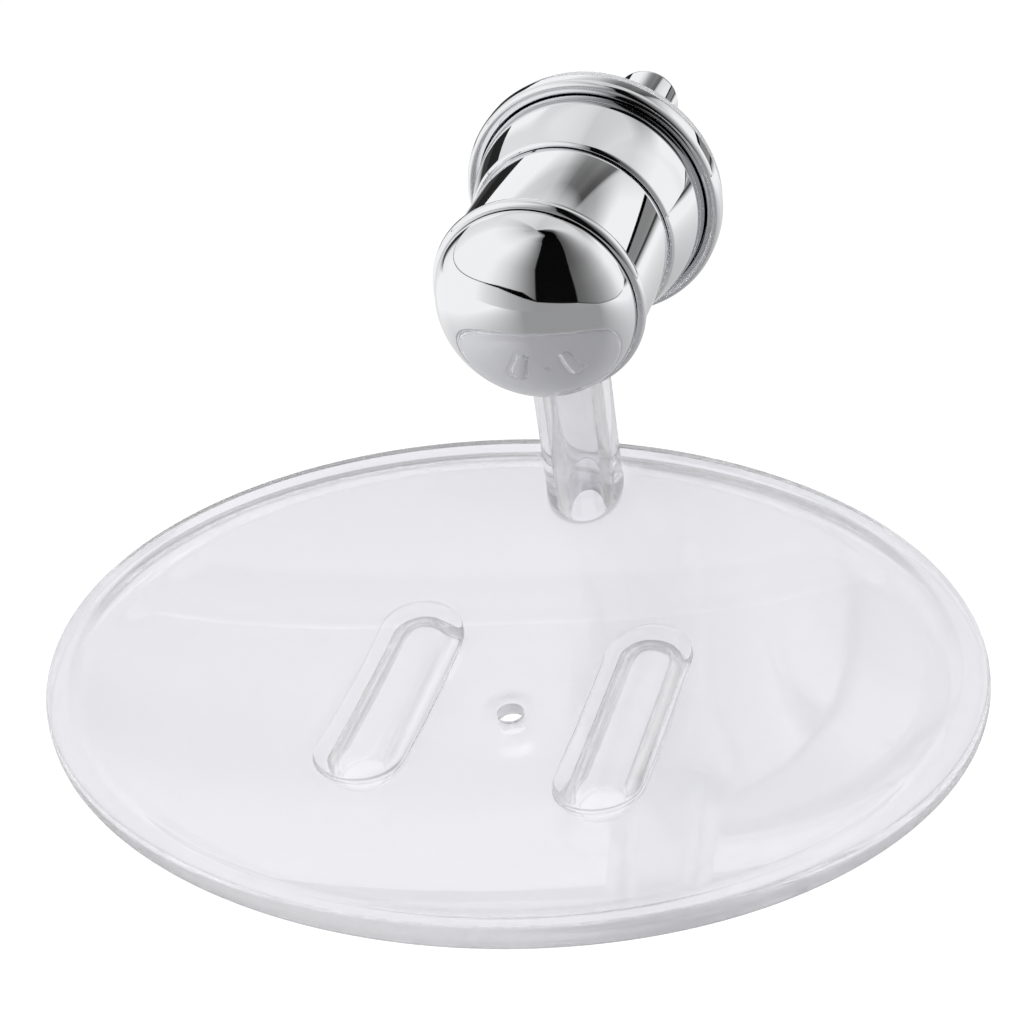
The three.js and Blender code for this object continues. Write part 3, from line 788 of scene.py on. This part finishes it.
opening = [(BORE + MOUTH * (1 - np.sin(a)), MOUTH * (1 - np.cos(a)), True) for a in quarter]
tube = [(BORE, z, False) for z in np.linspace(-4, BORE_TOP - 1.6, 26)]
# The bore's round end, as (radius, distance below its top).
BORE_END = [(2.8, 1.0), (2.45, 0.5), (1.9, 0.2), (1.0, 0), (0, 0)]
roof = [(r, BORE_TOP - below, False) for r, below in BORE_END]
bore_wall = post_strip(opening + tube + roof, PEG_PLACE, under_face)
print("peg and bore:", len(peg_wall[1]) + len(bore_wall[1]), "faces")

# %% [markdown]
# ## One clear piece
# The parts share their end rows, so merging points closes the surface. Four-sided and three-sided parts
# go in as separate groups, since an array of faces has one width.

# %% Dish and peg as one clear piece
DISH_PLACE = np.array([0.0, -69.0, -38.3])
DISH_SHARP = 50
parts = [top, under, rim_wall, *ribs, drain_wall, drain_mouth, peg_wall, bore_wall]
parts = [(points + DISH_PLACE, faces) for points, faces in parts]
parts = [part for corners in (4, 3) for part in parts if len(part[1][0]) == corners]
make_piece("clear_dish_and_peg", parts, "dish", ["dish_tray", "dish_peg"], acrylic,
           DISH_SHARP)

# %% [markdown]
# ## Lamps
# A product photograph is lit by two soft boxes. These lamps light only matte surfaces: mirrors and clear
# pieces see the studio further down instead, which draws the boxes' edges more closely than a lamp could.

# %% Lamps
scene = bpy.context.scene
scene.view_settings.view_transform = "Standard"
LAMP_WIDTH, LAMP_HEIGHT, LAMP_POWER = 0.5, 0.6, 5       # metres and watts
LAMP_TARGET = (0, -0.05, -0.02)


def soft_lamp(name, place):
    """A rectangular lamp aimed at the target: its axes are side, rise and back, away from the target."""
    data = bpy.data.lights.new(name, "AREA")
    data.shape, data.size, data.size_y, data.energy = "RECTANGLE", LAMP_WIDTH, LAMP_HEIGHT, LAMP_POWER
    lamp = bpy.data.objects.new(name, data)
    scene.collection.objects.link(lamp)
    back = np.array(place, float) - np.array(LAMP_TARGET, float)
    back /= np.linalg.norm(back)
    side = np.cross((0, 0, 1), back)
    side /= np.linalg.norm(side)
    rise = np.cross(back, side)
    matrix = Matrix(np.column_stack([side, rise, back]).tolist()).to_4x4()
    matrix.translation = place
    lamp.matrix_world = matrix
    lamp.visible_glossy = False
    lamp.visible_transmission = False
    return lamp


soft_lamp("left_box", (-0.55, -0.35, 0.5))
soft_lamp("right_box", (0.6, -0.2, 0.5))

# %% [markdown]
# ## A studio for mirrors and clear pieces
# Chrome shows what stands round it. The boxes could be real glowing planes, but here the world has a
# grey for each direction: tables by azimuth, 0 towards the dish's front and rising to the right, and
# tables by height. The greys were set one by one after those in the photograph's chrome, and none is
# above 1. Mirrors see them as they are. Clear pieces see them softer, except where the ray met chrome
# first, so that the dish isn't white in the chrome.

# %% Short ways to add shader nodes


class Wires:
    """Short way to add shader nodes: a node's plain values by keyword, its links by position."""

    def __init__(self, tree):
        self.tree = tree
        tree.nodes.clear()

    def add(self, kind, *links, **values):
        node = self.tree.nodes.new(kind)
        for name, value in values.items():
            setattr(node, name, value)
        for place, link in enumerate(links):
            if isinstance(link, (int, float, tuple)):
                node.inputs[place].default_value = link
            elif link is not None:
                self.tree.links.new(link, node.inputs[place])
        return node

    def math(self, operation, *links, **values):
        return self.add("ShaderNodeMath", *links, operation=operation, **values).outputs[0]

    def blend(self, share, first, second):
        """First value less a share of it, plus that share of the second."""
        kept = self.math("MULTIPLY", first, self.math("SUBTRACT", 1.0, share))
        return self.math("MULTIPLY_ADD", second, share, kept)

    def ramp(self, value, stops):
        """Grey as straight strokes through (value from 0 to 1, grey) stops."""
        ramp = self.add("ShaderNodeValToRGB", value)
        line = ramp.color_ramp
        while len(line.elements) < len(stops):
            line.elements.new(0.5)
        for element, (place, grey) in zip(line.elements, stops):
            element.position, element.color = place, (grey, grey, grey, 1)
        return ramp.outputs["Color"]


print("node helper ready for", scene.name)

# %% Tables of the studio
# Stops are (azimuth in degrees; grey).
LEFT_BOX = [(-180, 0.36), (-176, 0.46), (-170, 0.6), (-160, 0.7), (-150, 0.77), (-130, 0.82), (-115, 0.86),
            (-105, 0.93), (-100, 1.0), (-45, 1.0), (-40, 0.96), (-35, 0.88), (-30, 0.8), (-25, 0.7),
            (-20, 0.58), (-15, 0.46), (-10, 0.34), (-5, 0.23), (-0.5, 0.15), (0, 0.003)]
RIGHT_BOX = [(35.5, 0.003), (36, 0.12), (45, 0.155), (55, 0.225), (65, 0.31), (75, 0.43), (85, 0.56),
             (95, 0.72), (100, 0.82), (105, 0.9), (115, 1.0), (125, 1.0), (130, 0.92), (135, 0.83),
             (140, 0.75), (145, 0.66), (150, 0.6), (158, 0.48), (168, 0.42), (180, 0.36)]
# Two darkenings behind the bracket, seen only below some 40 degrees of height, as the share taken away.
SEAM = [(-180, 0.35), (-170, 0.0), (161.5, 0.0), (162.5, 0.8), (166, 0.75), (170, 0.55), (174, 0.55),
        (180, 0.35)]
# The share by which the front's leaning edges and the back's changes apply.
FRONT = [(-90, 0.0), (-60, 1.0), (120, 1.0), (150, 0.0)]
BACK = [(-142, 1.0), (-132, 0.0), (130, 0.0), (142, 1.0)]
# The ground as mirrors see it below the boxes.
GROUND = [(-180, 0.02), (-128, 0.02), (-118, 0.9), (-100, 1.0), (-50, 1.0), (-40, 0.8), (-30, 0.65),
          (-20, 0.47), (-10, 0.37), (0, 0.33), (55, 0.36), (60, 0.45), (70, 0.62), (80, 0.8), (90, 0.92),
          (100, 1.0), (130, 1.0), (138, 0.25), (180, 0.25)]
# The boxes' lower edge and the dark slot over it, as heights over the horizon in degrees.
LOW_EDGE = [(-180, 4), (-138, 4), (-128, 6), (-45, 8), (-30, 7), (-20, 4.5), (-10, 1.5), (0, -1), (35, -2.5),
            (60, -7), (90, -9), (130, -9), (138, -1.5), (180, -1.5)]
SLOT = [(-180, 0), (-100, 0.6), (-45, 0.6), (-30, 2), (-20, 3.5), (-10, 5), (0, 1), (60, 0.5), (130, 0.5),
        (138, 2.5), (180, 2.5)]
# Stops are (sine of the height over the horizon; value). The seam ends above LOW_SEAM, and the back turns
# towards a pale grey above HIGH_BACK. FALL and RIGHT_FALL dim the boxes upwards, LOW_GLOW lifts the low
# back, and the two boxes' facing edges lean apart overhead.
LOW_SEAM = [(0.6, 1.0), (0.68, 0.0)]
HIGH_BACK = [(0.58, 0.0), (0.68, 0.65)]
LEFT_LEAN = [(0.0, 0), (0.5, 2), (0.643, 5), (0.766, 9), (0.866, 14), (0.906, 18), (0.94, 21), (0.966, 30),
             (0.985, 57)]
RIGHT_LEAN = [(0.0, 0), (0.342, 2.5), (0.5, 4.5), (0.643, 8.5), (0.707, 11.5), (0.766, 15.5), (0.819, 20),
              (0.866, 26), (0.906, 34), (0.94, 45), (0.966, 75)]
RIGHT_FALL = [(0.34, 1.0), (0.5, 0.88), (0.643, 0.75)]
FALL = [(0.766, 1.0), (0.866, 0.92), (0.906, 0.87), (0.94, 0.8), (0.966, 0.7), (0.985, 0.58), (1.0, 0.45)]
LOW_GLOW = [(0.28, 0.7), (0.36, 0.5), (0.42, 0.3), (0.5, 0.0)]
BACK_GREY = 0.9
EDGE_SHARPNESS = 500.0                  # how fast a box's lower edge changes, per unit of height
print("studio tables:", len(LEFT_BOX) + len(RIGHT_BOX) + len(GROUND), "greys by azimuth")

# %% World
world = bpy.data.worlds.new("white_studio")
scene.world = world
world.use_nodes = True
sky = Wires(world.node_tree)
direction = sky.add("ShaderNodeTexCoord").outputs["Generated"]
x, y, z = sky.add("ShaderNodeSeparateXYZ", direction).outputs
azimuth = sky.math("ARCTAN2", x, sky.math("MULTIPLY", y, -1.0))
turn = sky.math("MULTIPLY_ADD", azimuth, 1 / (2 * np.pi), 0.5)
height = sky.math("MULTIPLY_ADD", z, 0.5, 0.5)


def around(stops, value=turn, scale=1.0, shift=0.0):
    """A value by azimuth, as scale times each stop plus a shift."""
    return sky.ramp(value, [((a + 180) / 360, scale * v + shift) for a, v in stops])


def upwards(stops, scale=1.0):
    """A value by the sine of the height over the horizon."""
    return sky.ramp(height, [(0.5 + h / 2, scale * v) for h, v in stops])


def leaning(stops):
    """Azimuth less a lean that grows with height, for the front half."""
    lean = sky.math("MULTIPLY", upwards(stops, 0.01), around(FRONT))
    return sky.math("MULTIPLY_ADD", lean, -100 / 360, turn)


degree = np.pi / 360                    # one degree near the horizon, in the units of height
left_box = around(LEFT_BOX, leaning(LEFT_LEAN))
right_box = sky.math("MULTIPLY", around(RIGHT_BOX, leaning(RIGHT_LEAN)), upwards(RIGHT_FALL))
panels = sky.math("MULTIPLY", sky.math("MAXIMUM", left_box, right_box), upwards(FALL))
seam = sky.math("MULTIPLY", around(SEAM), upwards(LOW_SEAM))
panels = sky.math("MULTIPLY", panels, sky.math("SUBTRACT", 1.0, seam))
panels = sky.blend(sky.math("MULTIPLY", upwards(HIGH_BACK), around(BACK)), panels, BACK_GREY)
glow = sky.math("MULTIPLY", upwards(LOW_GLOW), around(BACK))
panels = sky.math("MINIMUM", sky.math("MULTIPLY", panels, sky.math("ADD", glow, 1.0)), 1.0)
low = around(LOW_EDGE, turn, degree, 0.5)
over_edge = sky.math("SUBTRACT", height, low)
clear = sky.math("SUBTRACT", over_edge, around(SLOT, turn, degree))
panels = sky.math("MULTIPLY", panels, sky.math("MULTIPLY_ADD", clear, EDGE_SHARPNESS, 0.5, use_clamp=True))
above = sky.math("MULTIPLY_ADD", over_edge, EDGE_SHARPNESS, 0.5, use_clamp=True)
panels = sky.blend(above, around(GROUND), panels)
print("world:", len(world.node_tree.nodes), "nodes so far")

# %% What each kind of ray sees of the world
MILKY_WHITE = (0.97, 0.97, 1, 1)
SOFT_SHARE, SOFT_LIFT = 0.7, 0.25       # a softer grey is this share of the grey, plus the lift
AMBIENT = 0.6                           # the world's light on matte surfaces
path = sky.add("ShaderNodeLightPath")
met_chrome = sky.math("MINIMUM", path.outputs["Glossy Depth"], 1.0)
softer = sky.math("MULTIPLY_ADD", panels, SOFT_SHARE, SOFT_LIFT)
softer = sky.blend(met_chrome, softer, panels)
studio = sky.add("ShaderNodeBackground", (1, 1, 1, 1), panels).outputs[0]
through = sky.add("ShaderNodeBackground", MILKY_WHITE, softer).outputs[0]
ambient = sky.add("ShaderNodeBackground", (1, 1, 1, 1), AMBIENT).outputs[0]
white = sky.add("ShaderNodeBackground", (1, 1, 1, 1), 1.0).outputs[0]
seen = sky.add("ShaderNodeMixShader", path.outputs["Is Glossy Ray"], ambient, studio).outputs[0]
seen = sky.add("ShaderNodeMixShader", path.outputs["Is Transmission Ray"], seen, through).outputs[0]
seen = sky.add("ShaderNodeMixShader", path.outputs["Is Camera Ray"], seen, white).outputs[0]
sky.add("ShaderNodeOutputWorld", seen)
print("world:", len(world.node_tree.nodes), "nodes")

# %% [markdown]
# ## Floor
# A large pale sheet of paper lies 1 m below. A matte sheet alone would be grey in places, so to the camera
# it glows a little and turns white. To mirrors and clear pieces it has greys of its own: darker close
# under the bracket and dark at its far end, where the photograph's chrome and dish are dark.

# %% Floor
FLOOR_DROP, FLOOR_HALF = 1.0, 6.0       # metres
PAPER, CAMERA_GLOW = (0.6, 0.6, 0.6, 1), 0.65
turns = ((-1, -1), (1, -1), (1, 1), (-1, 1))
floor_corners = [(x * FLOOR_HALF, y * FLOOR_HALF, -FLOOR_DROP) for x, y in turns]
floor_mesh = bpy.data.meshes.new("studio_floor")
floor_mesh.from_pydata(floor_corners, [], [(0, 1, 2, 3)])
paper = bpy.data.materials.new("pale_paper")
paper.use_nodes = True
ground = Wires(paper.node_tree)
place = ground.add("ShaderNodeTexCoord").outputs["Object"]
x, y, _ = ground.add("ShaderNodeSeparateXYZ", place).outputs


def beyond(value, slope):
    """How far a place lies past a line that runs forwards from the bracket, or 0."""
    line = ground.math("MULTIPLY", ground.math("MINIMUM", y, 0.0), slope)
    return ground.math("MAXIMUM", ground.math("ADD", value, line), 0.0)


def over_range(value, start, end, first, last):
    """Straight from the first grey at start to the last at end, and level past them."""
    return ground.add("ShaderNodeMapRange", value, start, end, first, last).outputs[0]


print("floor helpers ready")

# %% Greys of the floor, by metres to the right (x) and back (y)
NEAR_GREY = 0.34
left = ground.math("MULTIPLY", beyond(ground.math("MULTIPLY", x, -1.0), 0.2),
                   over_range(y, 0.8, 1.8, 0.29, 0.06))
right = ground.math("MULTIPLY", beyond(x, 1.6), 0.13)
behind = ground.math("MULTIPLY", ground.math("MAXIMUM", y, 0.0), 0.2)
pale = ground.math("ADD", ground.math("ADD", left, right), ground.math("ADD", behind, NEAR_GREY))
pale = ground.math("MINIMUM", pale, 1.0)
# The floor darkens from 1.9 m back on the left, and a metre farther back on the right.
on_right = ground.math("GREATER_THAN", x, 0.0)
reach = ground.math("MULTIPLY_ADD", on_right, -1.0, y)
end = over_range(reach, 1.9, 3.0, 1.0, 0.05)
far_right = ground.math("MULTIPLY", on_right, ground.math("GREATER_THAN", y, 4.5))
end = ground.math("MULTIPLY_ADD", far_right, 0.22, end)
pale = ground.math("MULTIPLY", pale, end)
veil = ground.math("MULTIPLY", over_range(y, 0.9, 1.7, 1.0, 0.86), over_range(y, 1.9, 2.8, 1.0, 0.5))
print("floor:", len(paper.node_tree.nodes), "nodes so far")

# %% What each kind of ray sees of the floor
path = ground.add("ShaderNodeLightPath")
lit = ground.add("ShaderNodeBsdfDiffuse", PAPER).outputs[0]
glow = ground.add("ShaderNodeEmission", (1, 1, 1, 1), CAMERA_GLOW).outputs[0]
shown = ground.add("ShaderNodeAddShader", lit, glow).outputs[0]
studio = ground.add("ShaderNodeEmission", (1, 1, 1, 1), pale).outputs[0]
through = ground.add("ShaderNodeEmission", MILKY_WHITE, veil).outputs[0]
met_chrome = ground.math("MINIMUM", path.outputs["Glossy Depth"], 1.0)
through = ground.add("ShaderNodeMixShader", met_chrome, through, studio).outputs[0]
seen = ground.add("ShaderNodeMixShader", path.outputs["Is Camera Ray"], lit, shown).outputs[0]
seen = ground.add("ShaderNodeMixShader", path.outputs["Is Glossy Ray"], seen, studio).outputs[0]
seen = ground.add("ShaderNodeMixShader", path.outputs["Is Transmission Ray"], seen, through).outputs[0]
ground.add("ShaderNodeOutputMaterial", seen)
floor_mesh.materials.append(paper)
floor = bpy.data.objects.new("studio_floor", floor_mesh)
scene.collection.objects.link(floor)
print("floor at", -FLOOR_DROP, "m")

# %% [markdown]
# ## Camera
# The camera's place, direction and lens were fitted to the dish's outline, the bracket's circles and the
# peg in the photograph. Moving it by hand until things line up would also work, but is less exact.

# %% Camera
SENSOR, FRAME_PIXELS, LENS_PIXELS = 36, 1024, 2200      # mm, and lengths in the photograph's pixels
camera_data = bpy.data.cameras.new("photo_camera")
camera_data.sensor_width = SENSOR
camera_data.lens = LENS_PIXELS / FRAME_PIXELS * SENSOR
camera = bpy.data.objects.new("photo_camera", camera_data)
scene.collection.objects.link(camera)
# Directions of the picture's right and up, the way back from it, and the camera's place in metres.
right = (0.94640841, 0.29713977, -0.12656647)
up = (-0.08019712, 0.59581275, 0.79910925)
backward = (0.31285705, -0.74613345, 0.58771196)
camera_place = (0.100143, -0.295158, 0.165544)
matrix = Matrix(np.column_stack([right, up, backward]).tolist()).to_4x4()
matrix.translation = camera_place
camera.matrix_world = matrix
scene.camera = camera
print("camera:", round(camera_data.lens, 1), "mm lens")
